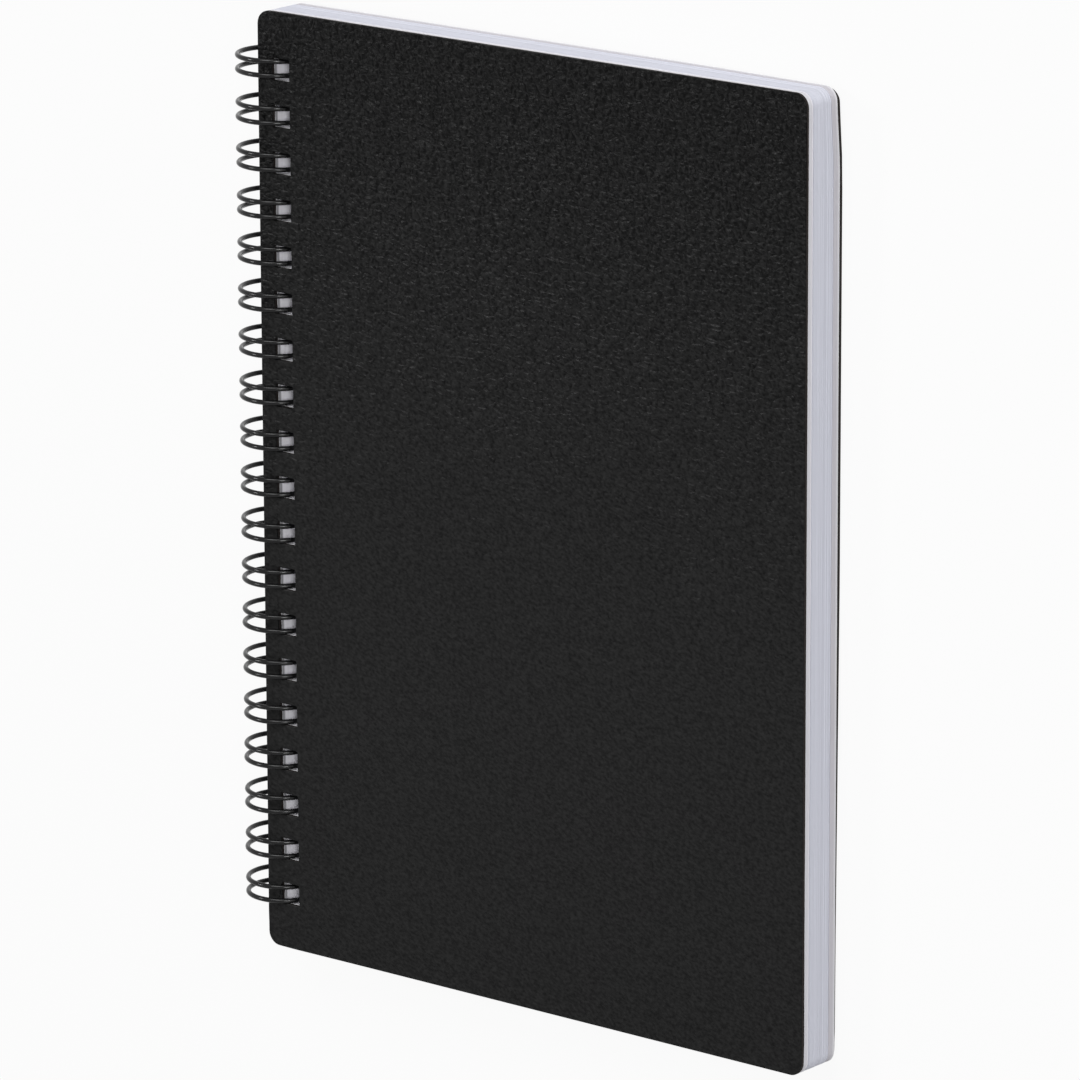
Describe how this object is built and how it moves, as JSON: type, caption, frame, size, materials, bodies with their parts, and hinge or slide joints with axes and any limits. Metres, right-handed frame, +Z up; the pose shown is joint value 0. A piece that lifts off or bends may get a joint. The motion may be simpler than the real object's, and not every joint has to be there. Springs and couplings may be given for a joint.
{
  "type": "wire-bound notebook",
  "caption": "Portrait notebook with grained black covers and plain white pages, bound along its long left side by a black double-loop wire.",
  "frame": {"origin": "under the middle of the closed notebook, level with the lowest point of the binding wire", "axes": "+X from the bound spine to the fore edge, +Y from the foot of the page to its head, +Z up out of the front cover; the notebook lies closed on its back"},
  "size_m": [0.1295, 0.173, 0.0146],
  "materials": {
    "cover": "black, fine pebbled grain, satin",
    "pages": "plain white, uncoated",
    "wire": "black coated steel wire, satin"
  },
  "bodies": {
    "book": {"pages": "pages", "binding_wire": "wire"},
    "front": {"front_cover": "cover"},
    "back": {"back_cover": "cover"}
  },
  "joints": [
    {"name": "front_cover_turn", "type": "hinge", "parent": "book", "child": "front", "pos_m": [-0.05745, 0, 0.0073], "axis": [0, -1, 0], "range_deg": [0, 180]},
    {"name": "back_cover_turn", "type": "hinge", "parent": "book", "child": "back", "pos_m": [-0.05745, 0, 0.0073], "axis": [0, 1, 0], "range_deg": [0, 180]}
  ]
}
